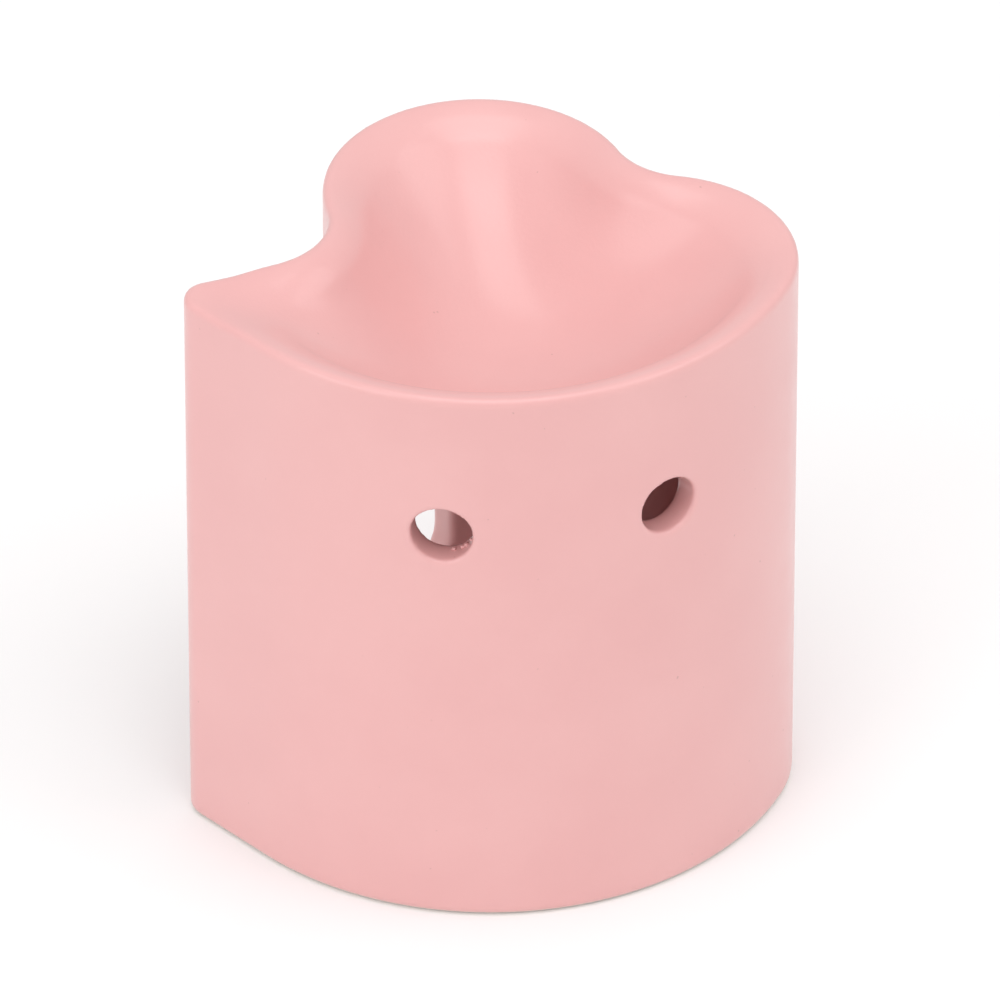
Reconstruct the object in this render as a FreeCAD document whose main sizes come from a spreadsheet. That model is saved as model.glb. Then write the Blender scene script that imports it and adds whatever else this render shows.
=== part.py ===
"""Tealight wax burner: a one-piece glazed ceramic body with a lobed melting basin on
top, two round air vents in the wall and a window at the back, and the tealight
candle that stands inside and is drawn out through the window.

Frame: +Z up, +Y towards the window, origin at the centre of the foot's bounding box.
"""
import FreeCAD, Part
import math
import os

import Sketcher
from FreeCAD import Placement, Rotation, Vector

DRIVING_DIMENSIONS = {
    # whole body
    "body_height": 103.0,
    "lip_width": 4.2,
    "wall_thick": 4.9,
    "floor_top": 7.5,
    "foot_width": 6.0,
    "foot_recess": 2.0,
    # plan outline: a big front round, a side lobe inside it, a back lobe and a corner
    "front_x": 8.17,
    "front_y": 9.75,
    "front_radius": 51.6,
    "side_y": -15.65,
    "side_radius": 22.5,
    "back_x": 11.27,
    "back_y": 16.75,
    "back_radius": 25.1,
    "notch_radius": 12.8,
    "neck_y": 33.05,
    "neck_radius": 13.2,
    "corner_radius": 4.5,
    "inner_corner_radius": 2.5,
    "left_edge_angle": -83.5,
    "flank_angle": -16.6,
    # melting basin and the closed space below it
    "basin_depth": 22.0,
    "basin_floor_x": 3.4,
    "basin_floor_y": -4.4,
    "basin_floor_radius": 6.0,
    "basin_reach": 36.0,
    "basin_thick": 4.6,
    "cavity_top": 93.0,
    # vents, whose axes cross near the middle of the body
    "vent_diameter": 10.0,
    "vent_height": 76.1,
    "vent_aim_x": 5.2,
    "vent_aim_y": 4.5,
    "vent_start": 38.0,
    "front_vent_angle": -91.0,
    "side_vent_angle": -139.0,
    # window
    "window_x": -5.2,
    "window_width": 50.0,
    "window_tall": 38.0,
    "window_corner": 12.0,
    # softened edges
    "rim_round": 1.1,
    "base_round": 1.6,
    # tealight
    "candle_y": -4.0,
    "candle_gap": 0.05,
    "cup_top_radius": 18.6,
    "cup_base_radius": 18.0,
    "cup_tall": 15.0,
    "cup_wall": 0.4,
    "cup_bead": 0.5,
    "wax_tall": 12.5,
    "wax_gap": 0.03,
    "plate_radius": 6.5,
    "plate_thick": 0.4,
    "collar_radius": 1.5,
    "collar_tall": 3.5,
    "wick_radius": 0.8,
    "wick_tall": 19.5,
    "wick_gap": 0.02,
}

doc = FreeCAD.newDocument("tealight_burner")


# ---------------------------------------------------------------- driving dimensions
def make_sheet():
    sheet = doc.addObject("Spreadsheet::Sheet", "dims")
    for row, (alias, value) in enumerate(DRIVING_DIMENSIONS.items(), start=1):
        sheet.set(f"A{row}", alias)
        sheet.set(f"B{row}", str(value))
        sheet.setAlias(f"B{row}", alias)
    doc.recompute()
    return sheet


dims = make_sheet()


def size(alias):
    """The value of one cell, for places that have to be worked out in code."""
    return float(dims.get(alias))


# ---------------------------------------------------------------- plan outline
def polar(centre, radius, degrees):
    turn = math.radians(degrees)
    return centre + Vector(radius * math.cos(turn), radius * math.sin(turn), 0)


def angle_of(vector):
    return math.degrees(math.atan2(vector.y, vector.x))


def circle_beside_two(first, first_radius, second, second_radius, radius):
    """Centre of a circle that touches two others from outside, to the right of first->second."""
    to_first = first_radius + radius
    to_second = second_radius + radius
    apart = first.distanceToPoint(second)
    along = (to_first**2 - to_second**2 + apart**2) / (2 * apart)
    aside = math.sqrt(to_first**2 - along**2)
    line = (second - first).normalize()
    return first + line * along + Vector(line.y, -line.x, 0) * aside


def outline_circles(inset, corner):
    """Centres and radii of the outline's six rounds, moved inwards by inset."""
    front = Vector(size("front_x"), size("front_y"), 0)
    drop = size("side_y") - size("front_y")
    reach = size("front_radius") - size("side_radius")
    side = front + Vector(math.sqrt(reach**2 - drop**2), drop, 0)
    back = Vector(size("back_x"), size("back_y"), 0)
    notch = circle_beside_two(side, size("side_radius"), back, size("back_radius"), size("notch_radius"))
    rise = size("neck_y") - size("back_y")
    reach = size("back_radius") + size("neck_radius")
    neck = back + Vector(-math.sqrt(reach**2 - rise**2), rise, 0)
    radii = {
        "front": size("front_radius") - inset,
        "side": size("side_radius") - inset,
        "notch": size("notch_radius") + inset,
        "back": size("back_radius") - inset,
        "neck": size("neck_radius") + inset,
        "corner": corner,
    }
    # the corner's round touches the straight left edge and the straight flank
    edge_normal = polar(Vector(), 1, size("left_edge_angle") + 90)
    flank_normal = polar(Vector(), 1, size("flank_angle") - 90)
    edge_level = edge_normal.dot(front) - radii["front"] + corner
    flank_level = flank_normal.dot(neck) + radii["neck"] + corner
    spread = edge_normal.x * flank_normal.y - edge_normal.y * flank_normal.x
    corner_x = (edge_level * flank_normal.y - flank_level * edge_normal.y) / spread
    corner_y = (flank_level * edge_normal.x - edge_level * flank_normal.x) / spread
    centres = {
        "front": front,
        "side": side,
        "notch": notch,
        "back": back,
        "neck": neck,
        "corner": Vector(corner_x, corner_y, 0),
    }
    return centres, radii


def outline_curves(inset, corner):
    """The outline as arcs and lines, each counter-clockwise about its own centre."""
    centre, radius = outline_circles(inset, corner)
    edge_side = size("left_edge_angle") - 90
    flank_side = size("flank_angle") + 90
    front_to_side = angle_of(centre["side"] - centre["front"])
    side_to_notch = angle_of(centre["notch"] - centre["side"])
    notch_to_back = angle_of(centre["back"] - centre["notch"])
    back_to_neck = angle_of(centre["neck"] - centre["back"])

    def arc(name, start, end):
        circle = Part.Circle(centre[name], Vector(0, 0, 1), radius[name])
        if end < start:
            end += 360
        return Part.ArcOfCircle(circle, math.radians(start), math.radians(end))

    flank = Part.LineSegment(
        polar(centre["neck"], radius["neck"], flank_side - 180),
        polar(centre["corner"], radius["corner"], flank_side),
    )
    left_edge = Part.LineSegment(
        polar(centre["corner"], radius["corner"], edge_side),
        polar(centre["front"], radius["front"], edge_side),
    )
    return [
        ("front", arc("front", edge_side + 360, front_to_side + 360)),
        ("side", arc("side", front_to_side, side_to_notch)),
        ("notch", arc("notch", notch_to_back, side_to_notch + 180)),
        ("back", arc("back", notch_to_back - 180, back_to_neck)),
        ("neck", arc("neck", flank_side + 180, back_to_neck + 180)),
        ("flank", flank),
        ("corner", arc("corner", flank_side, edge_side + 360)),
        ("left_edge", left_edge),
    ]


# which end of each curve comes last when the outline is walked counter-clockwise
LAST_END = {"notch": 1, "neck": 1}


def add_sketch(body, name, plane, lift=None):
    """A sketch on one of the body's own origin planes, raised by an expression."""
    sketch = body.newObject("Sketcher::SketchObject", name)
    support = [f for f in body.Origin.OriginFeatures if f.Role == plane][0]
    sketch.AttachmentSupport = [(support, "")]
    sketch.MapMode = "FlatFace"
    if lift:
        sketch.setExpression("AttachmentOffset.Base.z", lift)
    return sketch


def bind(sketch, constraint, name, expression):
    """Adds a named driving constraint and ties it to the sheet."""
    index = sketch.addConstraint(constraint)
    sketch.renameConstraint(index, name)
    sketch.setExpression(f"Constraints.{name}", expression)


def outline_sketch(body, name, inset="0", corner="dims.corner_radius", lift=None):
    """The plan outline, moved inwards by inset, fully tied to the sheet."""
    sketch = add_sketch(body, name, "XY_Plane", lift)
    inset_value = size(inset.replace("dims.", "")) if "dims." in inset else float(inset)
    corner_value = size(corner.replace("dims.", ""))
    curves = outline_curves(inset_value, corner_value)
    index = {}
    for curve_name, curve in curves:
        index[curve_name] = sketch.addGeometry(curve)
    names = [curve_name for curve_name, _ in curves]
    for here, following in zip(names, names[1:] + names[:1]):
        last = LAST_END.get(here, 2)
        first = 2 if following in LAST_END else 1
        joint = Sketcher.Constraint("Tangent", index[here], last, index[following], first)
        sketch.addConstraint(joint)
    centre, radius = outline_circles(inset_value, corner_value)
    for round_name, sign in (("front", "-"), ("side", "-"), ("notch", "+"), ("back", "-"), ("neck", "+")):
        rule = Sketcher.Constraint("Radius", index[round_name], radius[round_name])
        bind(sketch, rule, f"{round_name}_r", f"dims.{round_name}_radius {sign} {inset}")
    rule = Sketcher.Constraint("Radius", index["corner"], radius["corner"])
    bind(sketch, rule, "corner_r", corner)
    for round_name, axis in (("front", "x"), ("front", "y"), ("side", "y"), ("back", "x"),
                             ("back", "y"), ("neck", "y")):
        kind = "DistanceX" if axis == "x" else "DistanceY"
        value = getattr(centre[round_name], axis)
        rule = Sketcher.Constraint(kind, -1, 1, index[round_name], 3, value)
        bind(sketch, rule, f"{round_name}_{axis}", f"dims.{round_name}_{axis}")
    for line_name, alias, turn in (("left_edge", "left_edge_angle", 0), ("flank", "flank_angle", 180)):
        value = math.radians(size(alias) + turn)
        rule = Sketcher.Constraint("Angle", index[line_name], value)
        bind(sketch, rule, f"{line_name}_lean", f"dims.{alias} + {turn}")
    return sketch


# ---------------------------------------------------------------- basin sections
# Levels of the basin's side, as inward fractions between the lip (0) and the floor's edge (1).
BASIN_LEVELS = {"shoulder": 0.15, "middle": 0.5, "floor": 1.0}


def basin_section(fraction, swell):
    """Arcs between the lip's inner outline (fraction 0) and the round floor (fraction 1).

    Each arc runs through three points. A point moves straight from the lip towards the
    floor's edge in its own direction, and swell moves it outwards for the bowl's underside.
    """
    floor = Vector(size("basin_floor_x"), size("basin_floor_y"), 0)
    arcs = []
    for name, curve in outline_curves(size("lip_width"), size("inner_corner_radius")):
        ends = [curve.FirstParameter, curve.LastParameter]
        if name in LAST_END:
            ends.reverse()
        moved = []
        for share in (0.0, 0.5, 1.0):
            point = curve.value(ends[0] + (ends[1] - ends[0]) * share)
            away = (point - floor).normalize()
            edge = floor + away * size("basin_floor_radius")
            moved.append(point + (edge - point) * fraction + away * swell)
        arcs.append(moved)
    return arcs


def basin_step(fraction):
    """Depth and outward normal of the basin's parabolic side at one inward fraction."""
    floor_share = size("basin_floor_radius") / size("basin_reach")
    steepness = size("basin_depth") / (1 - floor_share**2)
    away = 1 - fraction * (1 - floor_share)
    depth = steepness * (1 - away**2)
    normal = Vector(2 * steepness * away / size("basin_reach"), 1, 0)
    return depth, normal.normalize()


def basin_sketch(body, name, fraction, thick=0.0):
    """One level of the basin's side, or of its underside when thick is given."""
    depth, normal = basin_step(fraction)
    drop = depth + thick * normal.y
    share = drop / size("basin_depth")
    sketch = add_sketch(body, name, "XY_Plane", f"dims.body_height - dims.basin_depth * {share:.4f}")
    for start, middle, end in basin_section(fraction, thick * normal.x):
        clockwise = (middle - start).cross(end - middle).z < 0
        if clockwise:
            start, end = end, start
        sketch.addGeometry(Part.Arc(start, middle, end))
    return sketch


def loft(body, kind, name, sketches):
    feature = body.newObject(f"PartDesign::{kind}", name)
    feature.Profile = sketches[0]
    feature.Sections = sketches[1:]
    feature.Ruled = False
    doc.recompute()
    return feature


# ---------------------------------------------------------------- ceramic body
def pocket(body, name, sketch, length, upwards=False):
    """Cuts a pocket and makes sure that it took something away."""
    before = body.Tip.Shape.Volume
    feature = body.newObject("PartDesign::Pocket", name)
    feature.Profile = sketch
    feature.Reversed = upwards
    feature.setExpression("Length", length)
    doc.recompute()
    if feature.Shape.Volume >= before:
        raise RuntimeError(f"{name} cuts nothing")
    return feature


def window_sketch(body):
    """Rounded rectangle standing on the chamber floor's level, seen along Y."""
    sketch = add_sketch(body, "window_outline", "XZ_Plane")
    left = size("window_x") - size("window_width") / 2
    right = size("window_x") + size("window_width") / 2
    low = size("floor_top")
    high = low + size("window_tall")
    corner = size("window_corner")

    def quarter(x, y, start):
        circle = Part.Circle(Vector(x, y, 0), Vector(0, 0, 1), corner)
        return Part.ArcOfCircle(circle, math.radians(start), math.radians(start + 90))

    sides = [
        Part.LineSegment(Vector(left + corner, low, 0), Vector(right - corner, low, 0)),
        quarter(right - corner, low + corner, 270),
        Part.LineSegment(Vector(right, low + corner, 0), Vector(right, high - corner, 0)),
        quarter(right - corner, high - corner, 0),
        Part.LineSegment(Vector(right - corner, high, 0), Vector(left + corner, high, 0)),
        quarter(left + corner, high - corner, 90),
        Part.LineSegment(Vector(left, high - corner, 0), Vector(left, low + corner, 0)),
        quarter(left + corner, low + corner, 180),
    ]
    for side in sides:
        sketch.addGeometry(side)
    for here in range(8):
        sketch.addConstraint(Sketcher.Constraint("Tangent", here, 2, (here + 1) % 8, 1))
    sketch.addConstraint(Sketcher.Constraint("Horizontal", 0))
    sketch.addConstraint(Sketcher.Constraint("Vertical", 2))
    sketch.addConstraint(Sketcher.Constraint("Horizontal", 4))
    sketch.addConstraint(Sketcher.Constraint("Vertical", 6))
    for arc in (3, 5, 7):
        sketch.addConstraint(Sketcher.Constraint("Equal", 1, arc))
    bind(sketch, Sketcher.Constraint("Radius", 1, corner), "corner_r", "dims.window_corner")
    rule = Sketcher.Constraint("DistanceX", -1, 1, 2, 1, right)
    bind(sketch, rule, "right_jamb", "dims.window_x + dims.window_width / 2")
    rule = Sketcher.Constraint("DistanceX", 6, 1, 2, 1, right - left)
    bind(sketch, rule, "wide", "dims.window_width")
    bind(sketch, Sketcher.Constraint("DistanceY", -1, 1, 0, 1, low), "sill", "dims.floor_top")
    bind(sketch, Sketcher.Constraint("DistanceY", 0, 1, 4, 1, high - low), "tall", "dims.window_tall")
    return sketch


def cut_vent(body, name, angle_alias):
    """A round hole from just inside the wall outwards."""
    vent = body.newObject("PartDesign::SubtractiveCylinder", name)
    support = [f for f in body.Origin.OriginFeatures if f.Role == "XY_Plane"][0]
    vent.AttachmentSupport = [(support, "")]
    vent.MapMode = "FlatFace"
    vent.setExpression("Radius", "dims.vent_diameter / 2")
    vent.setExpression("Height", "dims.front_radius / 2")
    aim = Vector(size("vent_aim_x"), size("vent_aim_y"), size("vent_height"))
    outwards = polar(Vector(), 1, size(angle_alias))
    start = aim + outwards * size("vent_start")
    vent.AttachmentOffset = Placement(start, Rotation(Vector(0, 0, 1), outwards))
    doc.recompute()
    return vent


def edge_names(shape, wanted):
    return [f"Edge{n}" for n, edge in enumerate(shape.Edges, start=1) if wanted(edge)]


def fillet(body, name, wanted, radius):
    """Rounds the edges of the body that wanted picks."""
    base = body.Tip
    names = edge_names(base.Shape, wanted)
    if not names:
        raise RuntimeError(f"{name} finds no edge")
    feature = body.newObject("PartDesign::Fillet", name)
    feature.Base = (base, names)
    feature.setExpression("Radius", radius)
    doc.recompute()
    return feature


def level_edges(shape, height, outer):
    """Edges of the flat face at one height: its outer wire, or its inner wires."""
    found = []
    for face in shape.Faces:
        flat = face.BoundBox.ZLength < 1e-4 and abs(face.BoundBox.ZMax - height) < 1e-4
        if not flat:
            continue
        for wire in face.Wires:
            if wire.isSame(face.OuterWire) == outer:
                found.extend(wire.Edges)
    return found


def make_ceramic_body():
    body = doc.addObject("PartDesign::Body", "ceramic_body")
    block = body.newObject("PartDesign::Pad", "outer_block")
    block.Profile = outline_sketch(body, "outer_outline")
    block.setExpression("Length", "dims.body_height")
    doc.recompute()

    cavity = outline_sketch(body, "cavity_outline", "dims.wall_thick", "dims.inner_corner_radius",
                            "dims.floor_top")
    pocket(body, "cavity", cavity, "dims.cavity_top - dims.floor_top", upwards=True)

    under = [basin_sketch(body, f"bowl_{name}", fraction, size("basin_thick"))
             for name, fraction in BASIN_LEVELS.items()]
    loft(body, "AdditiveLoft", "bowl", under)
    inside = [outline_sketch(body, "lip_outline", "dims.lip_width", "dims.inner_corner_radius",
                             "dims.body_height")]
    inside += [basin_sketch(body, f"basin_{name}", fraction) for name, fraction in BASIN_LEVELS.items()]
    loft(body, "SubtractiveLoft", "basin", inside)

    pocket(body, "window", window_sketch(body), "dims.front_radius")
    cut_vent(body, "front_vent", "front_vent_angle")
    cut_vent(body, "side_vent", "side_vent_angle")

    foot = outline_sketch(body, "foot_outline", "dims.foot_width", "dims.inner_corner_radius")
    pocket(body, "foot_hollow", foot, "dims.foot_recess", upwards=True)

    top = size("body_height")
    rim = level_edges(body.Tip.Shape, top, outer=True)
    fillet(body, "rim_rounding", lambda edge: any(edge.isSame(e) for e in rim), "dims.rim_round")
    base = level_edges(body.Tip.Shape, 0, outer=True)
    fillet(body, "base_rounding", lambda edge: any(edge.isSame(e) for e in base), "dims.base_round")
    body.Label = "ceramic_body"
    return body


# ---------------------------------------------------------------- tealight
def primitive(kind, name, **sizes):
    """A Part primitive whose sizes are expressions of the sheet."""
    item = doc.addObject(f"Part::{kind}", name)
    for prop, expression in sizes.items():
        item.setExpression(prop, expression)
    return item


def join(kind, name, base, tool):
    """Part::Cut or Part::Fuse of two objects."""
    item = doc.addObject(f"Part::{kind}", name)
    item.Base = base
    item.Tool = tool
    return item


def raised(item, expression):
    item.setExpression("Placement.Base.z", expression)
    return item


def stand_in_chamber(item, label):
    """Puts a finished tealight piece at the candle's place on the chamber floor."""
    item.Label = label
    item.setExpression("Placement.Base.x", "dims.window_x")
    item.setExpression("Placement.Base.y", "dims.candle_y")
    item.setExpression("Placement.Base.z", "dims.floor_top + dims.candle_gap")
    return item


def make_tealight_cup():
    outer = primitive("Cone", "cup_outside", Radius1="dims.cup_base_radius",
                      Radius2="dims.cup_top_radius", Height="dims.cup_tall")
    inner = primitive("Cone", "cup_inside", Radius1="dims.cup_base_radius - dims.cup_wall",
                      Radius2="dims.cup_top_radius - dims.cup_wall", Height="dims.cup_tall")
    raised(inner, "dims.cup_wall")
    shell = join("Cut", "cup_shell", outer, inner)
    bead = primitive("Torus", "cup_rim_bead", Radius1="dims.cup_top_radius", Radius2="dims.cup_bead")
    raised(bead, "dims.cup_tall - dims.cup_bead")
    return stand_in_chamber(join("Fuse", "tealight_cup_solid", shell, bead), "tealight_cup")


def make_tealight_wax():
    """The wax disc, cast round the sustainer plate, its collar and the wick."""
    lean = "(dims.cup_top_radius - dims.cup_base_radius) / dims.cup_tall * dims.wax_tall"
    inside = "dims.cup_base_radius - dims.cup_wall - dims.wax_gap"
    disc = primitive("Cone", "wax_disc", Radius1=inside, Radius2=f"{inside} + {lean}",
                     Height="dims.wax_tall")
    raised(disc, "dims.cup_wall + dims.wax_gap")
    plate = primitive("Cylinder", "wax_plate_room", Radius="dims.plate_radius + dims.wax_gap",
                      Height="dims.cup_wall + dims.plate_thick + 2 * dims.wax_gap")
    collar = primitive("Cylinder", "wax_collar_room", Radius="dims.collar_radius + dims.wax_gap",
                       Height="dims.cup_wall + dims.collar_tall + 2 * dims.wax_gap")
    bore = primitive("Cylinder", "wax_wick_room", Radius="dims.wick_radius + dims.wick_gap",
                     Height="dims.cup_tall + dims.wick_tall")
    room = join("Fuse", "wax_lower_room", plate, collar)
    room = join("Fuse", "wax_room", room, bore)
    return stand_in_chamber(join("Cut", "tealight_wax_solid", disc, room), "tealight_wax")


def make_wick_sustainer():
    """The tin plate that stands on the cup's floor and grips the wick in its collar."""
    plate = primitive("Cylinder", "sustainer_plate", Radius="dims.plate_radius",
                      Height="dims.plate_thick")
    raised(plate, "dims.cup_wall + dims.wax_gap")
    collar = primitive("Cylinder", "sustainer_collar", Radius="dims.collar_radius",
                       Height="dims.collar_tall")
    raised(collar, "dims.cup_wall + dims.wax_gap")
    bore = primitive("Cylinder", "sustainer_bore", Radius="dims.wick_radius + dims.wick_gap",
                     Height="dims.cup_tall")
    solid = join("Fuse", "sustainer_blank", plate, collar)
    return stand_in_chamber(join("Cut", "wick_sustainer_solid", solid, bore), "wick_sustainer")


def make_wick():
    """The wick, gripped at its foot by the collar; its own frame is raised to the cup's floor."""
    wick = primitive("Cylinder", "wick_solid", Radius="dims.wick_radius", Height="dims.wick_tall")
    stand_in_chamber(wick, "tealight_wick")
    return raised(wick, "dims.floor_top + dims.candle_gap + dims.cup_wall + dims.wax_gap")


# ---------------------------------------------------------------- checks and files
def check_document():
    for item in doc.Objects:
        if "Invalid" in item.State or "Error" in item.State:
            raise RuntimeError(f"{item.Label} is {item.State}")


def write_parts(subparts):
    os.makedirs("parts", exist_ok=True)
    for item in subparts:
        shape = item.Shape
        if shape.isNull() or not shape.isValid() or len(shape.Solids) != 1:
            raise RuntimeError(f"{item.Label} is not one valid solid")
        shape.exportStep(f"parts/{item.Label}.step")
        box = shape.BoundBox
        print(f"{item.Label}: {shape.Volume / 1000:.2f} cm3, "
              f"X {box.XMin:.2f} {box.XMax:.2f}, Y {box.YMin:.2f} {box.YMax:.2f}, "
              f"Z {box.ZMin:.2f} {box.ZMax:.2f}")


subparts = [
    make_ceramic_body(),
    make_tealight_cup(),
    make_tealight_wax(),
    make_wick_sustainer(),
    make_wick(),
]
doc.recompute()
check_document()
write_parts(subparts)
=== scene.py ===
import math
import random

import bmesh
import bpy
import numpy as np
import openvdb
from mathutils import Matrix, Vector, noise


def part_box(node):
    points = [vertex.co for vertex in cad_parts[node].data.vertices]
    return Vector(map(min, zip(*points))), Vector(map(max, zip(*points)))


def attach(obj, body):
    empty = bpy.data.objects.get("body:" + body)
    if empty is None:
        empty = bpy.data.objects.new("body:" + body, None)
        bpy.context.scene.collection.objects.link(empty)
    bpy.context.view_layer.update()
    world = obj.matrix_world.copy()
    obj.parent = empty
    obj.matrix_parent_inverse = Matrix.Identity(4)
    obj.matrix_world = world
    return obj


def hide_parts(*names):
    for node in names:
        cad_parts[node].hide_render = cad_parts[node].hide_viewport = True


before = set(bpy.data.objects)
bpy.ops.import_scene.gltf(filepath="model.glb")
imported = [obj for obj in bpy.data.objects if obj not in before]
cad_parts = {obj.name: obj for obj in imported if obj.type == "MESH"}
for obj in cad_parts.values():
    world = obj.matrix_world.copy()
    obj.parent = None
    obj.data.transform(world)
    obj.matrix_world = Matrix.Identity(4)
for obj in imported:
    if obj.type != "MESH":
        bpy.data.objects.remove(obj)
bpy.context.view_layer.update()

# The ceramic body is worked out in millimetres and turned into metres when its mesh is made.
MM = 0.001
GRID_STEP = 0.5
GRID_MARGIN = 2.5

# Plan outline: five rounds that run into each other, a pointed corner and two straight edges.
FRONT_CENTRE = np.array([8.17, 9.75])
FRONT_RADIUS = 51.6
SIDE_CENTRE_Y = -15.65
SIDE_RADIUS = 22.5
BACK_CENTRE = np.array([11.27, 16.75])
BACK_RADIUS = 25.1
NOTCH_RADIUS = 12.8
NECK_CENTRE_Y = 33.05
NECK_RADIUS = 13.2
CORNER_RADIUS = 4.5
INNER_CORNER_RADIUS = 2.5
LEFT_EDGE_ANGLE = -83.5
FLANK_ANGLE = -16.6

# Wall, floor and foot.
BODY_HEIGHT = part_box("ceramic_body")[1].z / MM
WALL_THICK = 4.9
FLOOR_TOP = 7.5
FOOT_WIDTH = 6.0
FOOT_RECESS = 2.0
CHAMBER_TOP = 93.0

# Melting basin: how far its edge lies inside the outline, its depth, how full its sides are, how many
# rounds settle its membrane, how thick the clay below it is and the steepest slant that counts there.
BASIN_INSET = 4.5
BASIN_DEPTH = 22.0
BASIN_FULLNESS = 1.1
MEMBRANE_ROUNDS = 400
BASIN_THICK = 4.6
MOST_SLANT = 2.2

# Numerical limits: a squared length or error that counts as none, the least share of a grid step to
# the membrane's edge, the least slope of the basin's mirrored side, the least squared slope of a field,
# the rounds that move a mesh onto its surface and how many spreads an average reaches.
NOTHING = 1e-12
LEAST_SHARE = 0.1
LEAST_RISE = 0.3
LEAST_STEEPNESS = 0.05
SURFACE_ROUNDS = 2
SPREAD_REACH = 2.5

# Vents and window.
VENT_RADIUS = 5.0
VENT_HEIGHT = 76.1
VENT_AIM = np.array([5.2, 4.5])
VENT_START = 37.0
VENT_ANGLES = (-91.0, -139.0)
WINDOW_X = -5.2
WINDOW_WIDTH = 50.0
WINDOW_TALL = 38.0
WINDOW_CORNER = 12.0
WINDOW_START_Y = 8.0
SILL_CUT = 0.8

# Roundings of the casting, and how far the glaze evens out its edges.
RIM_ROUND = 1.2
LIP_ROUND = 3.8
BASE_ROUND = 1.6
CHAMBER_ROUND = 3.0
WINDOW_ROUND = 0.8
VENT_ROUND = 0.4
FOOT_ROUND = 0.8
GLAZE_SPREAD = 0.25

# Burrs of clay in the vents: start and end angle round the hole and number of crumbs, for each vent,
# how deep in the wall they sit, how they are strewn, and how large they and their lumps are.
CRUMB_SPANS = {-91.0: (20.0, 95.0, 7), -139.0: (-75.0, -10.0, 5)}
CRUMB_DEEP = 3.4
CRUMB_SIZES = (0.22, 0.45)
CRUMB_SCATTER = 0.6
CRUMB_SUNK = 0.35
CRUMB_STREW = (0.2, 0.8)
CRUMB_FLATNESS = 0.75
LUMP_SCALE = 1.3
LUMP_STRENGTH = 0.5
GRAIN_SCALE = 3.7
GRAIN_STRENGTH = 0.2

# Thread of clay in the first vent: its span round the hole, its thickness and how thin its ends are,
# its waves in and out, and how far it stays off the edge and droops from it at its loose end.
THREAD_SPAN = (35.0, 100.0)
THREAD_POINTS = 13
THREAD_SIDES = 10
THREAD_THICK = 0.16
THREAD_TIP = 0.35
THREAD_SWAY = 0.12
THREAD_WAVES = 11.0
THREAD_OFF = 0.1
THREAD_DROOP = 0.9

# Tealight cup: its pleats, sheet, widening and heel, its rolled rim, and its dished floor, whose edge
# is given as steps inwards from the heel and their levels.
PLEATS = 48
PLEAT_STEPS = 8
PLEAT_DEEP = 0.22
CUP_SHEET = 0.25
CUP_TAPER = 0.7
CUP_HEEL = 1.4
CUP_DISH = 0.5
DISH_EDGE = ((4.0, CUP_DISH), (3.0, 0.3), (2.0, 0.0))
RIM_BEAD = 0.45
HEEL_POINTS = 7
SIDE_POINTS = 16
BEAD_POINTS = 14
NEXT_POINT = 0.05
HEEL_SLANT = 0.7

# Tealight wax: its sunken top and how that climbs at the cup and round the wick, its gap to the cup,
# and its rounded bottom edge as steps inwards from the side and their levels.
WAX_DIP = 0.5
WAX_CLIMB = 0.45
WAX_EDGE_POWER = 14
WAX_CLIMB_SPREAD = 0.9
WAX_GAP = 0.05
WAX_LIFT = 0.1
WAX_BOTTOM = ((2.4, WAX_LIFT), (0.9, 0.8))

# Tealight wick: its twisted strands, and the tuft that they are drawn to at the top.
WICK_STRANDS = 3
WICK_PITCH = 2.6
WICK_STEP = 0.2
STRAND_SHARE = 0.5
TUFT_TALL = 1.2
TUFT_PINCH = 0.5


# ------------------------------------------------------------------ plan outline
def direction(degrees):
    turn = math.radians(degrees)
    return np.array([math.cos(turn), math.sin(turn)])


def angle_of(vector):
    return math.degrees(math.atan2(vector[1], vector[0]))


def circle_beside_two(first, first_radius, second, second_radius, radius):
    """Centre of a circle that touches two others from outside, to the right of first->second."""
    apart = np.linalg.norm(second - first)
    to_first = first_radius + radius
    to_second = second_radius + radius
    along = (to_first**2 - to_second**2 + apart**2) / (2 * apart)
    aside = math.sqrt(to_first**2 - along**2)
    line = (second - first) / apart
    return first + line * along + np.array([line[1], -line[0]]) * aside


def outline_rounds(inset, corner):
    """Centre and radius of each round of the outline, moved inwards by inset."""
    drop = SIDE_CENTRE_Y - FRONT_CENTRE[1]
    reach = FRONT_RADIUS - SIDE_RADIUS
    side = FRONT_CENTRE + np.array([math.sqrt(reach**2 - drop**2), drop])
    notch = circle_beside_two(side, SIDE_RADIUS, BACK_CENTRE, BACK_RADIUS, NOTCH_RADIUS)
    rise = NECK_CENTRE_Y - BACK_CENTRE[1]
    reach = BACK_RADIUS + NECK_RADIUS
    neck = BACK_CENTRE + np.array([-math.sqrt(reach**2 - rise**2), rise])
    # the corner's round touches the straight left edge and the straight flank
    edge_normal = direction(LEFT_EDGE_ANGLE + 90)
    flank_normal = direction(FLANK_ANGLE - 90)
    levels = [
        edge_normal @ FRONT_CENTRE - (FRONT_RADIUS - inset) + corner,
        flank_normal @ neck + NECK_RADIUS + inset + corner,
    ]
    corner_centre = np.linalg.solve(np.array([edge_normal, flank_normal]), levels)
    return {
        "front": (FRONT_CENTRE, FRONT_RADIUS - inset),
        "side": (side, SIDE_RADIUS - inset),
        "notch": (notch, NOTCH_RADIUS + inset),
        "back": (BACK_CENTRE, BACK_RADIUS - inset),
        "neck": (neck, NECK_RADIUS + inset),
        "corner": (corner_centre, corner),
    }


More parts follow.
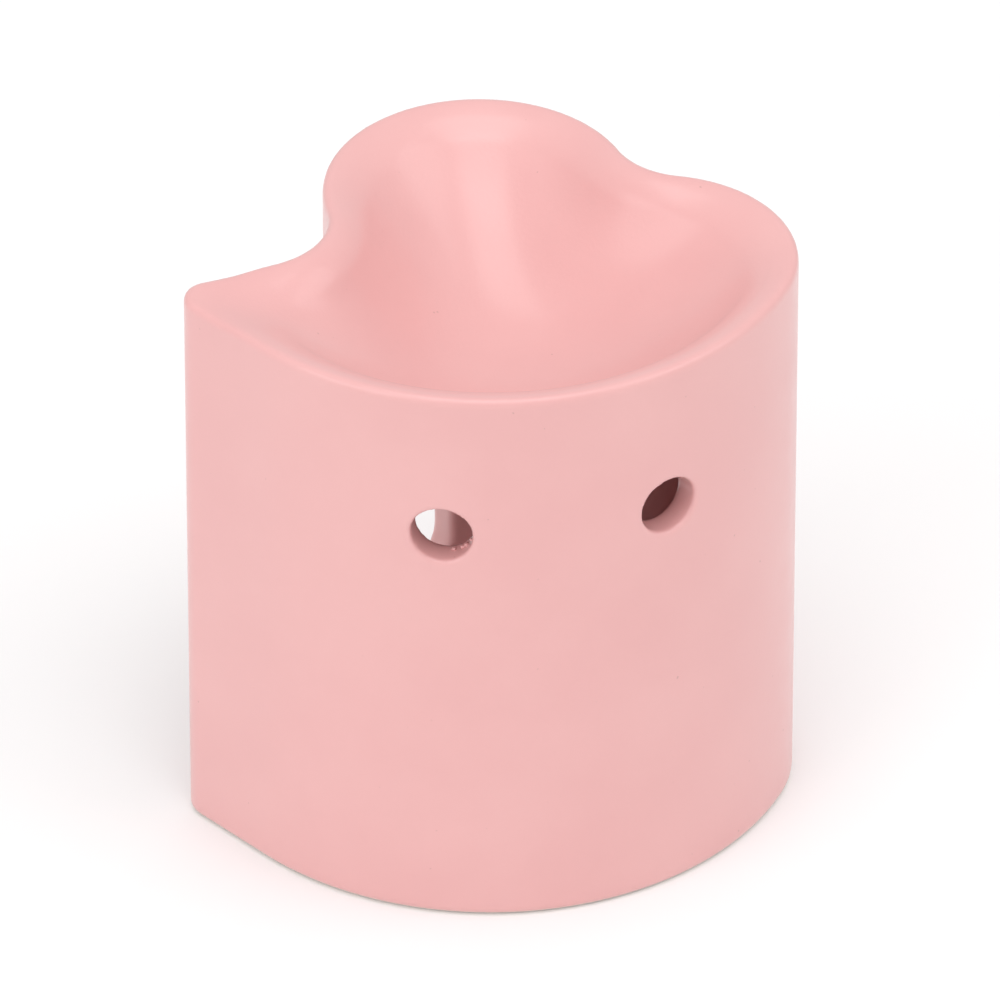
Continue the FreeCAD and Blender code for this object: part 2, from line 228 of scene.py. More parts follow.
def outline_curves(inset, corner):
    """The outline's arcs as (centre, radius, start, end), and its corners of straight edges."""
    rounds = outline_rounds(inset, corner)
    centre = {name: place for name, (place, _) in rounds.items()}
    edge_side = LEFT_EDGE_ANGLE - 90
    flank_side = FLANK_ANGLE + 90
    front_to_side = angle_of(centre["side"] - centre["front"])
    side_to_notch = angle_of(centre["notch"] - centre["side"])
    notch_to_back = angle_of(centre["back"] - centre["notch"])
    back_to_neck = angle_of(centre["neck"] - centre["back"])
    # a turn from a larger angle to a smaller one runs clockwise
    spans = [
        ("front", edge_side, front_to_side),
        ("side", front_to_side, side_to_notch),
        ("notch", side_to_notch + 180, notch_to_back),
        ("back", notch_to_back - 180, back_to_neck),
        ("neck", back_to_neck + 180, flank_side + 180),
        ("corner", flank_side, edge_side + 360),
    ]
    return [(*rounds[name], start, end) for name, start, end in spans]


def outline_points(inset, corner, spacing=0.4):
    """Points along the whole outline, counter-clockwise."""
    points = []
    for centre, radius, start, end in outline_curves(inset, corner):
        steps = max(4, int(abs(math.radians(end - start)) * radius / spacing))
        for turn in np.linspace(start, end, steps):
            points.append(centre + radius * direction(turn))
    return np.array(points)


def distance_to_segments(x, y, points):
    """Distance from each place to a closed run of straight pieces, negative inside."""
    nearest = np.full(x.shape, np.inf)
    inside = np.zeros(x.shape, bool)
    for a, b in zip(points, np.roll(points, -1, axis=0)):
        along = b - a
        length = along @ along
        if length < NOTHING:
            continue
        share = np.clip(((x - a[0]) * along[0] + (y - a[1]) * along[1]) / length, 0, 1)
        gap = (x - a[0] - share * along[0]) ** 2 + (y - a[1] - share * along[1]) ** 2
        np.minimum(nearest, gap, out=nearest)
        if a[1] != b[1]:
            crosses = (y >= min(a[1], b[1])) & (y < max(a[1], b[1]))
            inside ^= crosses & (x < a[0] + (y - a[1]) * along[0] / along[1])
    return np.where(inside, -1, 1) * np.sqrt(nearest)


def outline_distance(x, y, inset, corner):
    """Distance to the outline moved inwards by inset, negative inside it."""
    return distance_to_segments(x, y, outline_points(inset, corner))


# ------------------------------------------------------------------ melting basin
def membrane(gap):
    """Rise of a membrane held along gap = 0 and pressed evenly from below, 1 at its highest."""
    inside = gap < 0
    sides = [(axis, shift) for axis in (0, 1) for shift in (1, -1)]
    pull = np.zeros(gap.shape)
    for axis, shift in sides:
        beside = np.roll(gap, shift, axis)
        crosses = inside & (beside >= 0)
        share = np.where(crosses, gap / np.where(crosses, gap - beside, 1), 1)
        pull += 1 / np.clip(share, LEAST_SHARE, 1)

    def stretched(rise):
        return np.where(inside, pull * rise - sum(np.roll(rise, k, axis) for axis, k in sides), 0)

    # conjugate gradients
    rise = np.zeros(gap.shape)
    left = inside.astype(float)
    aim = left.copy()
    size = (left * left).sum()
    for _ in range(MEMBRANE_ROUNDS):
        moved = stretched(aim)
        reach = size / (aim * moved).sum()
        rise += reach * aim
        left -= reach * moved
        new_size = (left * left).sum()
        if new_size < NOTHING:
            break
        aim = left + aim * new_size / size
        size = new_size
    return rise / rise.max()


def basin_depth(x, y):
    """Depth below the rim. Outside the basin's edge it is the mirrored depth, turned upwards."""
    step = x[1, 0] - x[0, 0]
    gap = outline_distance(x, y, BASIN_INSET, INNER_CORNER_RADIUS)
    depth = BASIN_DEPTH * (1 - (1 - membrane(gap)) ** BASIN_FULLNESS)
    slope_x, slope_y = np.gradient(gap, step)
    mirror_x = (x - 2 * gap * slope_x - x[0, 0]) / step
    mirror_y = (y - 2 * gap * slope_y - y[0, 0]) / step
    places = np.stack([mirror_x.ravel(), mirror_y.ravel()], axis=1)
    mirrored = sample(depth, places).reshape(gap.shape)
    return np.where(gap < 0, depth, -np.maximum(mirrored, LEAST_RISE * gap))


# ------------------------------------------------------------------ shapes as distances
def meet(first, second, radius):
    """The space that two shapes share, with its edge rounded."""
    over = np.maximum(first + radius, 0) ** 2 + np.maximum(second + radius, 0) ** 2
    return np.minimum(np.maximum(first, second), -radius) + np.sqrt(over)


def cut(solid, tool, radius):
    return meet(solid, -tool, radius)


def join(first, second, radius):
    return -meet(-first, -second, radius)


def slanted(height, surface, step):
    """Distance below or above a height map, from the gap measured straight up."""
    slope_x, slope_y = np.gradient(surface, step, step)
    return (height - surface[..., None]) / np.sqrt(1 + slope_x**2 + slope_y**2)[..., None]


def rounded_window(x, z):
    """Distance to the window's rounded outline, seen along Y."""
    low = FLOOR_TOP - SILL_CUT
    high = FLOOR_TOP + WINDOW_TALL
    from_x = np.abs(x - WINDOW_X) - WINDOW_WIDTH / 2 + WINDOW_CORNER
    from_z = np.abs(z - (low + high) / 2) - (high - low) / 2 + WINDOW_CORNER
    outside = np.hypot(np.maximum(from_x, 0), np.maximum(from_z, 0))
    return outside + np.minimum(np.maximum(from_x, from_z), 0) - WINDOW_CORNER


def vent(x, y, z, degrees):
    """A round hole from the chamber out through the wall."""
    line = direction(degrees)
    along = (x - VENT_AIM[0]) * line[0] + (y - VENT_AIM[1]) * line[1]
    across = (x - VENT_AIM[0]) * line[1] - (y - VENT_AIM[1]) * line[0]
    return np.maximum(np.hypot(across, z - VENT_HEIGHT) - VENT_RADIUS, VENT_START - along)


def ceramic_distance(axes):
    """Distance to the surface of the ceramic body on the whole grid, negative in the clay."""
    plan_x, plan_y = np.meshgrid(axes[0], axes[1], indexing="ij")
    x = axes[0][:, None, None]
    y = axes[1][None, :, None]
    z = axes[2][None, None, :]
    step = axes[0][1] - axes[0][0]

    outer = outline_distance(plan_x, plan_y, 0, CORNER_RADIUS)[..., None]
    depth = basin_depth(plan_x, plan_y)
    top = BODY_HEIGHT - depth
    upper = meet(z - BODY_HEIGHT, slanted(z, top, step), LIP_ROUND)
    solid = meet(outer, upper, RIM_ROUND)
    solid = meet(solid, -z, BASE_ROUND)

    slope_x, slope_y = np.gradient(top, step, step)
    slant = np.minimum(np.sqrt(1 + slope_x**2 + slope_y**2), MOST_SLANT)
    ceiling = np.minimum(top - BASIN_THICK * slant, CHAMBER_TOP)
    inner = outline_distance(plan_x, plan_y, WALL_THICK, INNER_CORNER_RADIUS)[..., None]
    chamber = meet(inner, slanted(z, ceiling, step), CHAMBER_ROUND)
    window = meet(rounded_window(x, z), WINDOW_START_Y - y, WINDOW_ROUND)
    room = join(chamber, window, WINDOW_ROUND)
    room = meet(room, FLOOR_TOP - z, FOOT_ROUND)
    solid = cut(solid, room, WINDOW_ROUND)
    for degrees in VENT_ANGLES:
        solid = cut(solid, vent(x, y, z, degrees), VENT_ROUND)

    foot = outline_distance(plan_x, plan_y, FOOT_WIDTH, INNER_CORNER_RADIUS)[..., None]
    hollow = meet(foot, z - FOOT_RECESS, FOOT_ROUND)
    return cut(solid, hollow, FOOT_ROUND)


def evened(field, step):
    """The field averaged over the glaze's spread, which softens every edge a little."""
    reach = int(math.ceil(SPREAD_REACH * GLAZE_SPREAD / step))
    offsets = np.arange(-reach, reach + 1) * step
    weights = np.exp(-((offsets / GLAZE_SPREAD) ** 2) / 2)
    weights /= weights.sum()
    for axis in range(3):
        field = sum(w * np.roll(field, shift - reach, axis) for shift, w in enumerate(weights))
    return field


# ------------------------------------------------------------------ meshes
def sample(values, places):
    """Values of a grid between its points, places being counted in grid steps."""
    low = np.clip(np.floor(places).astype(int), 0, np.array(values.shape) - 2)
    share = np.clip(places - low, 0, 1)
    total = np.zeros(len(places))
    for corner in np.ndindex(*[2] * values.ndim):
        weight = np.prod(np.where(corner, share, 1 - share), axis=1)
        total += weight * values[tuple((low + corner).T)]
    return total


def mesh_from_field(name, axes, field):
    """A closed mesh of the field's zero surface, with normals taken from the field."""
    step = float(axes[0][1] - axes[0][0])
    origin = np.array([axis[0] for axis in axes])
    grid = openvdb.FloatGrid(float(field.max()))
    grid.copyFromArray(np.ascontiguousarray(field, dtype=np.float32))
    places, quads = grid.convertToQuads(0.0)
    places = places.astype(float)
    slopes = np.gradient(field, step)
    for _ in range(SURFACE_ROUNDS):
        slope = np.stack([sample(part, places) for part in slopes], axis=1)
        steepness = np.maximum((slope**2).sum(1), LEAST_STEEPNESS)
        places -= (sample(field, places) / steepness)[:, None] * slope / step
    normals = np.stack([sample(part, places) for part in slopes], axis=1)
    normals /= np.linalg.norm(normals, axis=1)[:, None]
    return make_mesh(name, (origin + places * step) * MM, quads, normals)


def make_mesh(name, points, quads, normals=None):
    """A mesh object from arrays, with its faces turned outwards along the normals."""
    if normals is not None:
        a, b, c = (points[quads[:, k]] for k in (0, 1, 2))
        facing = np.einsum("ij,ij->i", np.cross(b - a, c - a), normals[quads[:, 0]])
        if np.median(facing) < 0:
            quads = quads[:, ::-1]
    mesh = bpy.data.meshes.new(name)
    mesh.vertices.add(len(points))
    mesh.vertices.foreach_set("co", points.astype(np.float32).ravel())
    mesh.loops.add(quads.size)
    mesh.loops.foreach_set("vertex_index", quads.astype(np.int32).ravel())
    mesh.polygons.add(len(quads))
    mesh.polygons.foreach_set("loop_start", np.arange(0, quads.size, quads.shape[1], dtype=np.int32))
    mesh.update(calc_edges=True)
    mesh.validate()
    mesh.polygons.foreach_set("use_smooth", np.ones(len(mesh.polygons), bool))
    if normals is not None:
        mesh.normals_split_custom_set_from_vertices(normals)
    piece = bpy.data.objects.new(name, mesh)
    bpy.context.scene.collection.objects.link(piece)
    return piece


def ceramic_body():
    low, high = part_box("ceramic_body")
    axes = []
    for k in range(3):
        start = low[k] / MM - GRID_MARGIN
        count = int((high[k] / MM - start + GRID_MARGIN) / GRID_STEP) + 1
        axes.append(start + GRID_STEP * np.arange(count))
    field = evened(ceramic_distance(axes), GRID_STEP)
    return mesh_from_field("ceramic_burner", axes, field)


def vent_wall_reach(degrees):
    """How far out from the vents' aim the outer wall stands in a vent's direction."""
    line = direction(degrees)
    outs = np.arange(VENT_START, 60.0, 0.05)
    places = VENT_AIM + outs[:, None] * line
    gap = outline_distance(places[:, 0], places[:, 1], 0, CORNER_RADIUS)
    return float(outs[np.argmax(gap > 0)])


def vent_edge(degrees, turn, out, reach):
    """A place in a vent: out from the vents' aim, and reach from the hole's own middle line."""
    line = direction(degrees)
    aside = np.array([-line[1], line[0]])
    flat = VENT_AIM + out * line + reach * math.cos(math.radians(turn)) * aside
    return Vector((flat[0], flat[1], VENT_HEIGHT + reach * math.sin(math.radians(turn))))


def vent_crumb(place, size, seed):
    """A dried crumb of clay: a small ball pushed in and out of shape."""
    ball = bmesh.new()
    bmesh.ops.create_icosphere(ball, subdivisions=3, radius=1.0)
    for point in ball.verts:
        lump = noise.noise(point.co * LUMP_SCALE + Vector((seed, 0, 0)))
        grain = noise.noise(point.co * GRAIN_SCALE + Vector((0, seed, 0)))
        point.co = point.co * size * (1 + LUMP_STRENGTH * lump + GRAIN_STRENGTH * grain)
        point.co.z *= CRUMB_FLATNESS
        point.co += place
    return ball


def vent_thread(degrees, out):
    """A hair of clay that follows the upper edge of a vent and leaves it at one end."""
    points = []
    for share in np.linspace(0, 1, THREAD_POINTS):
        turn = THREAD_SPAN[0] + share * (THREAD_SPAN[1] - THREAD_SPAN[0])
        sway = THREAD_SWAY * math.sin(share * THREAD_WAVES)
        reach = VENT_RADIUS - THREAD_OFF - THREAD_DROOP * share**3
        points.append(vent_edge(degrees, turn, out + sway, reach))
    return points


def tube(shape, points, thick):
    """Adds a round thread along the points, closed at both ends and thinner there."""
    rings = []
    for k, place in enumerate(points):
        ahead = points[min(k + 1, len(points) - 1)] - points[max(k - 1, 0)]
        side = ahead.cross(Vector((0, 0, 1))).normalized()
        over = side.cross(ahead).normalized()
        swell = math.sin(math.pi * k / (len(points) - 1))
        slim = thick * (THREAD_TIP + (1 - THREAD_TIP) * swell)
        ring = []
        for turn in np.linspace(0, 2 * math.pi, THREAD_SIDES, endpoint=False):
            away = math.cos(turn) * side + math.sin(turn) * over
            ring.append(shape.verts.new(place + slim * away))
        rings.append(ring)
    for ring, following in zip(rings, rings[1:]):
        for k in range(THREAD_SIDES):
            after = (k + 1) % THREAD_SIDES
            shape.faces.new((ring[k], ring[after], following[after], following[k]))
    shape.faces.new(rings[0][::-1])
    shape.faces.new(rings[-1])


def vent_burrs(degrees):
    """The crumbs at one vent, with a thread of clay at the first one, as a single piece."""
    start, end, count = CRUMB_SPANS[degrees]
    chance = random.Random(int(-degrees))
    out = vent_wall_reach(degrees) - CRUMB_DEEP
    whole = bmesh.new()
    for k in range(count):
        turn = start + (end - start) * (k + chance.uniform(*CRUMB_STREW)) / count
        size = chance.uniform(*CRUMB_SIZES)
        spot = out + chance.uniform(-CRUMB_SCATTER, CRUMB_SCATTER)
        place = vent_edge(degrees, turn, spot, VENT_RADIUS - CRUMB_SUNK * size)
        crumb = vent_crumb(place, size, chance.uniform(0, 50))
        shape = bpy.data.meshes.new("crumb")
        crumb.to_mesh(shape)
        crumb.free()
        whole.from_mesh(shape)
        bpy.data.meshes.remove(shape)
    if degrees == VENT_ANGLES[0]:
        tube(whole, vent_thread(degrees, out), THREAD_THICK)
    bmesh.ops.recalc_face_normals(whole, faces=whole.faces)
    bmesh.ops.scale(whole, vec=(MM, MM, MM), verts=whole.verts)
    return finished("vent_burr_%d" % int(-degrees), whole)


def finished(name, shape):
    """A smooth mesh object from a bmesh."""
    mesh = bpy.data.meshes.new(name)
    shape.to_mesh(mesh)
    shape.free()
    mesh.polygons.foreach_set("use_smooth", np.ones(len(mesh.polygons), bool))
    piece = bpy.data.objects.new(name, mesh)
    bpy.context.scene.collection.objects.link(piece)
    return piece


# ------------------------------------------------------------------ tealight
def node_size(node):
    """Middle in plan, lowest and highest level and half width of a CAD node, in millimetres."""
    low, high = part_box(node)
    middle = ((low.x + high.x) / 2 / MM, (low.y + high.y) / 2 / MM)
    return middle, low.z / MM, high.z / MM, (high.x - low.x) / 2 / MM


def pleat(turn, share):
    """How far a pleat draws the cup's side in. Pleats fade out at the heel and under the rim."""
    fade = math.sin(math.pi * min(max(share, 0.0), 1.0)) ** 0.5
    return PLEAT_DEEP * fade * (0.5 - 0.5 * math.cos(PLEATS * turn))


def lathe(name, middle, profile, pleated=lambda r, z, turn: 0.0, turns=PLEATS * PLEAT_STEPS):
    """Turns a profile, which starts and ends on the axis, round the axis into a closed piece."""
    shape = bmesh.new()
    ends = [shape.verts.new((middle[0], middle[1], profile[k][1])) for k in (0, -1)]
    rings = []
    for radius, level in profile[1:-1]:
        ring = []
        for k in range(turns):
            turn = 2 * math.pi * k / turns
            reach = radius - pleated(radius, level, turn)
            x = middle[0] + reach * math.cos(turn)
            y = middle[1] + reach * math.sin(turn)
            ring.append(shape.verts.new((x, y, level)))
        rings.append(ring)
    for k in range(turns):
        after = (k + 1) % turns
        shape.faces.new((ends[0], rings[0][after], rings[0][k]))
        shape.faces.new((ends[1], rings[-1][k], rings[-1][after]))
        for ring, following in zip(rings, rings[1:]):
            shape.faces.new((ring[k], ring[after], following[after], following[k]))
    bmesh.ops.recalc_face_normals(shape, faces=shape.faces)
    bmesh.ops.scale(shape, vec=(MM, MM, MM), verts=shape.verts)
    return finished(name, shape)


def cup_side(share, height, radius):
    """Radius and level of the cup's outer side, from its heel at 0 to just under its rim at 1."""
    base = radius - RIM_BEAD - CUP_TAPER
    return base + CUP_TAPER * share, CUP_HEEL + share * (height - CUP_HEEL - 2 * RIM_BEAD)


def tealight_cup():
    """Pressed cup: a dished floor, a rounded heel, a pleated side and a rolled rim."""
    middle, low, high, radius = node_size("tealight_cup")
    height = high - low
    heel = radius - RIM_BEAD - CUP_TAPER - CUP_HEEL
    bead_middle = (radius - RIM_BEAD, height - RIM_BEAD)
    outer = [(0, CUP_DISH)] + [(heel - inwards, level) for inwards, level in DISH_EDGE]
    outer += [(heel + CUP_HEEL * math.sin(t), CUP_HEEL * (1 - math.cos(t)))
              for t in np.linspace(NEXT_POINT, math.pi / 2, HEEL_POINTS)]
    shares = np.linspace(NEXT_POINT, 1, SIDE_POINTS)
    outer += [cup_side(share, height, radius) for share in shares]
    bead = [(bead_middle[0] + RIM_BEAD * math.cos(t), bead_middle[1] + RIM_BEAD * math.sin(t))
            for t in np.linspace(-math.pi / 2, math.pi, BEAD_POINTS)]
    slanting = CUP_SHEET * HEEL_SLANT
    inner = [(r - CUP_SHEET, z) for r, z in outer[::-1][:SIDE_POINTS]]
    inner += [(r - slanting, z + slanting) for r, z in outer[::-1][SIDE_POINTS:-1]]
    inner += [(0, CUP_DISH + CUP_SHEET)]
    profile = [(r, low + z) for r, z in outer + bead + inner]

    def pleated(reach, level, turn):
        share = (level - low - CUP_HEEL) / (height - CUP_HEEL - 2 * RIM_BEAD)
        return pleat(turn, share) if reach > heel + CUP_HEEL * 0.6 else 0.0

    return lathe("tealight_foil_cup", middle, profile, pleated)


def tealight_wax():
    """Wax that fills the cup, with a sunken top that climbs a little at the cup and the wick."""
    middle, low, high, radius = node_size("tealight_wax")
    _, cup_low, cup_high, cup_radius = node_size("tealight_cup")
    height = cup_high - cup_low
    span = height - CUP_HEEL - 2 * RIM_BEAD
    wick_radius = node_size("tealight_wick")[3]

    def side(level):
        share = min(max((level - cup_low - CUP_HEEL) / span, 0.0), 1.0)
        return cup_side(share, height, cup_radius)[0] - CUP_SHEET - WAX_GAP

    def top(reach):
        edge = (reach / side(high)) ** WAX_EDGE_POWER
        centre = math.exp(-max(reach - wick_radius, 0.0) / WAX_CLIMB_SPREAD)
        return high - WAX_DIP + WAX_DIP * edge + WAX_CLIMB * centre

    profile = [(0, low + WAX_LIFT)]
    profile += [(side(low) - inwards, low + level) for inwards, level in WAX_BOTTOM]
    profile += [(side(z), z) for z in np.linspace(low + CUP_HEEL + 0.4, high - 0.05, 12)]
    profile += [(r, top(r)) for r in side(high) * (1 - np.linspace(0.02, 0.97, 34) ** 1.3)]
    profile += [(0, top(0))]

    def pleated(reach, level, turn):
        share = (level - cup_low - CUP_HEEL) / span
        return pleat(turn, share) if reach > side(high) - 1.2 and share > 0 else 0.0

    return lathe("tealight_paraffin_fill", middle, profile, pleated)


def tealight_wick():
    """Three waxed cotton strands twisted together, drawn to a short tuft at the top."""
    middle, low, high, radius = node_size("tealight_wick")
    strand = radius * STRAND_SHARE
    shape = bmesh.new()
    for first in range(WICK_STRANDS):
        points = []
        for level in np.arange(low, high + 1e-6, WICK_STEP):
            turn = 2 * math.pi * (first / WICK_STRANDS + (level - low) / WICK_PITCH)
            drawn = max(0.0, 1 - (high - level) / TUFT_TALL) ** 2
            away = (radius - strand) * (1 - TUFT_PINCH * drawn)
            x = middle[0] + away * math.cos(turn)
            y = middle[1] + away * math.sin(turn)
            points.append(Vector((x, y, level)))
        strand_tube(shape, points, strand)
    bmesh.ops.recalc_face_normals(shape, faces=shape.faces)
    bmesh.ops.scale(shape, vec=(MM, MM, MM), verts=shape.verts)
    return finished("tealight_cotton_wick", shape)


def strand_tube(shape, points, thick, sides=12):
    """Adds a round strand along points that rise, closed flat at both ends."""
    rings = []
    for place in points:
        ring = []
        for turn in np.linspace(0, 2 * math.pi, sides, endpoint=False):
            ring.append(shape.verts.new(place + thick * Vector((math.cos(turn), math.sin(turn), 0))))
        rings.append(ring)
    for ring, following in zip(rings, rings[1:]):
        for k in range(sides):
            after = (k + 1) % sides
            shape.faces.new((ring[k], ring[after], following[after], following[k]))
    shape.faces.new(rings[0][::-1])
    shape.faces.new(rings[-1])


# ------------------------------------------------------------------ materials
# Places of the colour sockets on Blender's mix node, which share their names with other sockets.
MIX_FIRST = 6
MIX_SECOND = 7
MIX_RESULT = 2


class Nodes:
    """Small helper that adds and links the nodes of one material."""

    def __init__(self, name):
        self.material = bpy.data.materials.new(name)
        self.material.use_nodes = True
        self.tree = self.material.node_tree
        self.shader = self.tree.nodes["Principled BSDF"]
        self.place = self.add("ShaderNodeTexCoord").outputs["Object"]

    def add(self, kind, **settings):
        node = self.tree.nodes.new(kind)
        for key, value in settings.items():
            setattr(node, key, value)
        return node

    def link(self, source, target):
        self.tree.links.new(source, target)

    def noise(self, scale, detail=3.0):
        node = self.add("ShaderNodeTexNoise")
        node.inputs["Scale"].default_value = scale
        node.inputs["Detail"].default_value = detail
        self.link(self.place, node.inputs["Vector"])
        return node.outputs["Fac"]

    def ramp(self, value, stops):
        """A colour that runs through (position, colour) stops as the value rises."""
        node = self.add("ShaderNodeValToRGB")
        while len(node.color_ramp.elements) < len(stops):
            node.color_ramp.elements.new(0.5)
        for element, (position, colour) in zip(node.color_ramp.elements, stops):
            element.position = position
            element.color = (*colour, 1)
        self.link(value, node.inputs["Fac"])
        return node.outputs["Color"]

    def mix(self, share, first, second):
        """A colour that goes from the first, a socket, to the second, a plain colour."""
        node = self.add("ShaderNodeMix", data_type="RGBA")
        self.link(share, node.inputs["Factor"])
        self.link(first, node.inputs[MIX_FIRST])
        node.inputs[MIX_SECOND].default_value = (*second, 1)
        return node.outputs[MIX_RESULT]

    def between(self, value, low, high, new_low, new_high):
        """The value, stretched from one range to another and kept inside it."""
        node = self.add("ShaderNodeMapRange")
        node.inputs["From Min"].default_value = low
        node.inputs["From Max"].default_value = high
        node.inputs["To Min"].default_value = new_low
        node.inputs["To Max"].default_value = new_high
        self.link(value, node.inputs["Value"])
        return node.outputs["Result"]

    def bump(self, height, strength, depth):
        node = self.add("ShaderNodeBump")
        node.inputs["Strength"].default_value = strength
        node.inputs["Distance"].default_value = depth
        self.link(height, node.inputs["Height"])
        self.link(node.outputs["Normal"], self.shader.inputs["Normal"])

    def height_above_floor(self):
        split = self.add("ShaderNodeSeparateXYZ")
        self.link(self.place, split.inputs[0])
        return split.outputs["Z"]

    def set(self, **values):
        for key, value in values.items():
            self.shader.inputs[key.replace("_", " ")].default_value = value


GLAZE_PINK = (0.776, 0.418, 0.408)
GLAZE_DEEP = (0.757, 0.398, 0.390)
BARE_CLAY = (0.74, 0.60, 0.53)
SPECK_BROWN = (0.50, 0.27, 0.24)
BARE_BELOW = 0.0009


def glaze_material():
    """Satin glaze: faintly clouded, finely stippled, with rare specks and a bare clay foot."""
    nodes = Nodes("satin_pink_glaze")
    cloud = nodes.ramp(nodes.noise(45.0), [(0.35, GLAZE_DEEP), (0.65, GLAZE_PINK)])
    speck = nodes.between(nodes.noise(900.0, 1.0), 0.80, 0.82, 0.0, 0.5)
    glaze = nodes.mix(speck, cloud, SPECK_BROWN)
    bare = nodes.between(nodes.height_above_floor(), BARE_BELOW, BARE_BELOW * 0.6, 0.0, 1.0)
    nodes.link(nodes.mix(bare, glaze, BARE_CLAY), nodes.shader.inputs["Base Color"])
    satin = nodes.between(nodes.noise(180.0), 0.3, 0.7, 0.33, 0.42)
    nodes.link(satin, nodes.shader.inputs["Roughness"])
    nodes.bump(nodes.noise(1500.0, 2.0), 0.12, 0.0002)
    nodes.set(Coat_Weight=0.45, Coat_Roughness=0.2)
    return nodes.material


def aluminium_material():
    """Thin pressed foil: bright, softly rubbed, with a faint fine bump over it."""
    nodes = Nodes("pressed_aluminium")
    tone = nodes.ramp(nodes.noise(160.0), [(0.3, (0.78, 0.78, 0.79)), (0.7, (0.90, 0.90, 0.91))])
    nodes.link(tone, nodes.shader.inputs["Base Color"])
    rough = nodes.between(nodes.noise(900.0), 0.3, 0.7, 0.24, 0.36)
    nodes.link(rough, nodes.shader.inputs["Roughness"])
    nodes.bump(nodes.noise(1300.0), 0.15, 0.0001)
    nodes.set(Metallic=1.0)
    return nodes.material


def wax_material():
    """White candle wax: light sinks in a little, with faint clouds and a dull skin."""
    nodes = Nodes("white_candle_wax")
    tone = nodes.ramp(nodes.noise(120.0), [(0.3, (0.84, 0.82, 0.78)), (0.7, (0.90, 0.89, 0.86))])
    nodes.link(tone, nodes.shader.inputs["Base Color"])
    rough = nodes.between(nodes.noise(400.0), 0.3, 0.7, 0.38, 0.52)
    nodes.link(rough, nodes.shader.inputs["Roughness"])
    nodes.bump(nodes.noise(500.0), 0.2, 0.0002)
    nodes.set(Subsurface_Weight=0.35, Subsurface_Radius=(0.004, 0.003, 0.002))
    return nodes.material


def cotton_material():
    """Waxed cotton: off-white, with fine fibres across the strands."""
    nodes = Nodes("waxed_cotton")
    tone = nodes.ramp(nodes.noise(2200.0), [(0.3, (0.70, 0.67, 0.58)), (0.7, (0.88, 0.86, 0.80))])
    nodes.link(tone, nodes.shader.inputs["Base Color"])
    nodes.bump(nodes.noise(4200.0), 0.5, 0.0001)
    nodes.set(Roughness=0.75)
    return nodes.material


def tin_material():
    """Dull tinplate with a fine grain."""
    nodes = Nodes("dull_tinplate")
    tone = nodes.ramp(nodes.noise(700.0), [(0.3, (0.55, 0.55, 0.54)), (0.7, (0.70, 0.70, 0.69))])
    nodes.link(tone, nodes.shader.inputs["Base Color"])
    nodes.bump(nodes.noise(2400.0), 0.2, 0.0001)
    nodes.set(Metallic=1.0, Roughness=0.42)
    return nodes.material


# ------------------------------------------------------------------ studio
CAMERA_AZIMUTH = -38.0
CAMERA_ELEVATION = 36.5
CAMERA_DISTANCE = 2.65
CAMERA_LENS = 590.0
CAMERA_AIM = Vector((0.0034, 0.0011, 0.0528))
CAMERA_REACH = 20
FLOOR_HALF = 4.0

# Studio: azimuth, elevation and watts of each softbox, and the glow of the white surroundings.
SOFTBOX_SIZE = 1.0
SOFTBOX_DISTANCE = 1.6
SKY_GLOW = 0.755
FLOOR_GLOW = 0.05
SOFTBOXES = {
    "softbox_left": (-86, 28, 5.0),
    "softbox_right": (40, 43, 3.8),
    "softbox_top": (-38, 85, 5.0),
    "softbox_front": (-38, 60, 3.7),
}


def seen_from(azimuth, elevation):
    """Unit vector towards a place at that azimuth and elevation, azimuth 0 being at -Y."""
    a = math.radians(azimuth)
    e = math.radians(elevation)
    return Vector((math.sin(a) * math.cos(e), -math.cos(a) * math.cos(e), math.sin(e)))


def point_at(thing, place, target):
    thing.location = place
    thing.rotation_euler = (target - place).to_track_quat("-Z", "Y").to_euler()


def make_camera():
    camera = bpy.data.objects.new("camera", bpy.data.cameras.new("camera"))
    bpy.context.scene.collection.objects.link(camera)
    camera.data.lens = CAMERA_LENS
    camera.data.clip_end = CAMERA_REACH
    aim = seen_from(CAMERA_AZIMUTH, CAMERA_ELEVATION)
    point_at(camera, CAMERA_AIM + aim * CAMERA_DISTANCE, CAMERA_AIM)
    bpy.context.scene.camera = camera


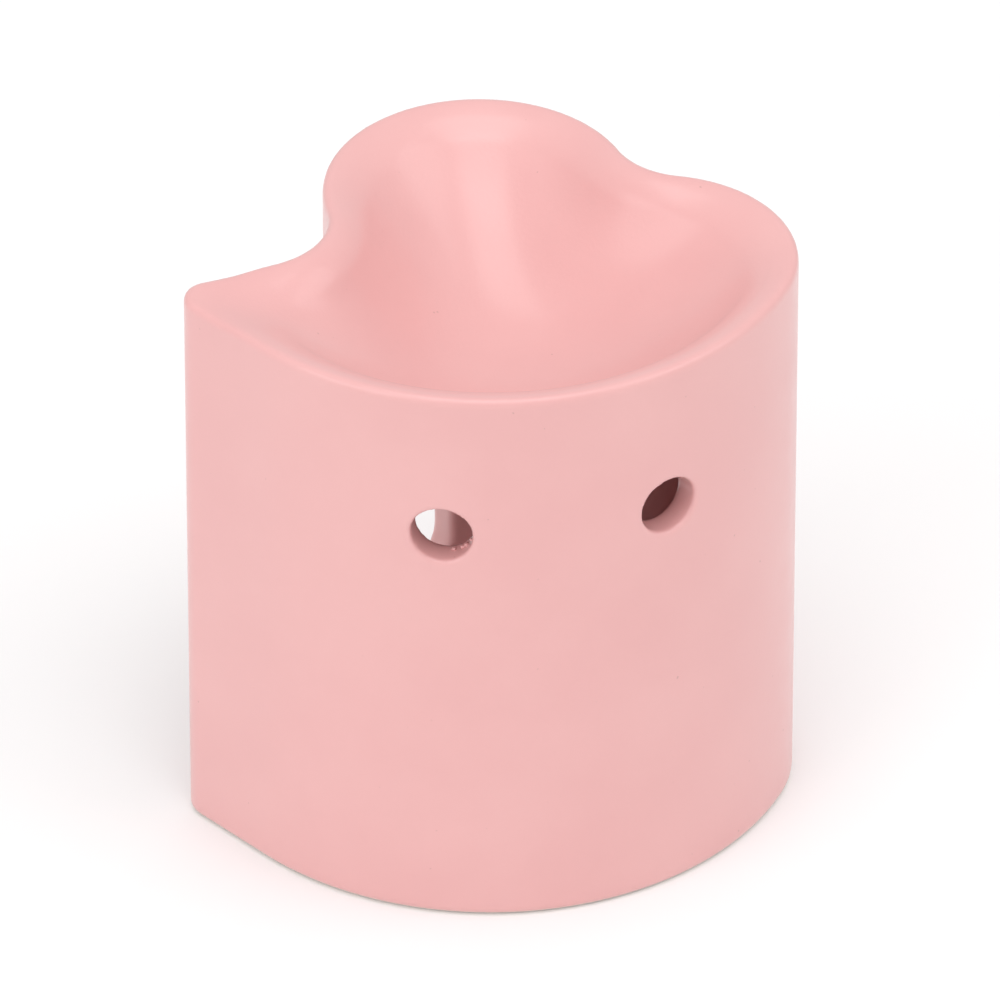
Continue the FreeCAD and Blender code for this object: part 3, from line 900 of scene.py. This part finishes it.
def softbox(name, azimuth, elevation, power):
    light = bpy.data.objects.new(name, bpy.data.lights.new(name, "AREA"))
    bpy.context.scene.collection.objects.link(light)
    light.data.shape = "SQUARE"
    light.data.size = SOFTBOX_SIZE
    light.data.energy = power
    point_at(light, CAMERA_AIM + seen_from(azimuth, elevation) * SOFTBOX_DISTANCE, CAMERA_AIM)


def make_floor():
    half = FLOOR_HALF
    corners = np.array([[-half, -half, 0], [half, -half, 0], [half, half, 0], [-half, half, 0]])
    floor = make_mesh("floor", corners.astype(float), np.array([[0, 1, 2, 3]]))
    nodes = Nodes("floor_white")
    tone = nodes.ramp(nodes.noise(3.0), [(0.3, (0.86, 0.86, 0.86)), (0.7, (0.88, 0.88, 0.88))])
    nodes.link(tone, nodes.shader.inputs["Base Color"])
    nodes.set(Roughness=0.9, Emission_Color=(1, 1, 1, 1), Emission_Strength=FLOOR_GLOW)
    floor.data.materials.append(nodes.material)


def make_studio():
    world = bpy.data.worlds.new("studio")
    world.use_nodes = True
    world.node_tree.nodes["Background"].inputs["Color"].default_value = (1, 1, 1, 1)
    world.node_tree.nodes["Background"].inputs["Strength"].default_value = SKY_GLOW
    bpy.context.scene.world = world
    for name, (azimuth, elevation, power) in SOFTBOXES.items():
        softbox(name, azimuth, elevation, power)
    bpy.context.scene.view_settings.view_transform = "Standard"


make_camera()
make_floor()
make_studio()

glaze = glaze_material()
body = ceramic_body()
body.data.materials.append(glaze)
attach(body, "burner")
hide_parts("ceramic_body")
for degrees in VENT_ANGLES:
    burrs = vent_burrs(degrees)
    burrs.data.materials.append(glaze)
    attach(burrs, "burner")

cup = tealight_cup()
cup.data.materials.append(aluminium_material())
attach(cup, "tealight")
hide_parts("tealight_cup")
wax = tealight_wax()
wax.data.materials.append(wax_material())
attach(wax, "tealight")
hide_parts("tealight_wax")
wick = tealight_wick()
wick.data.materials.append(cotton_material())
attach(wick, "tealight")
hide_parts("tealight_wick")
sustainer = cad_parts["wick_sustainer"]
sustainer.data.materials.clear()
sustainer.data.materials.append(tin_material())
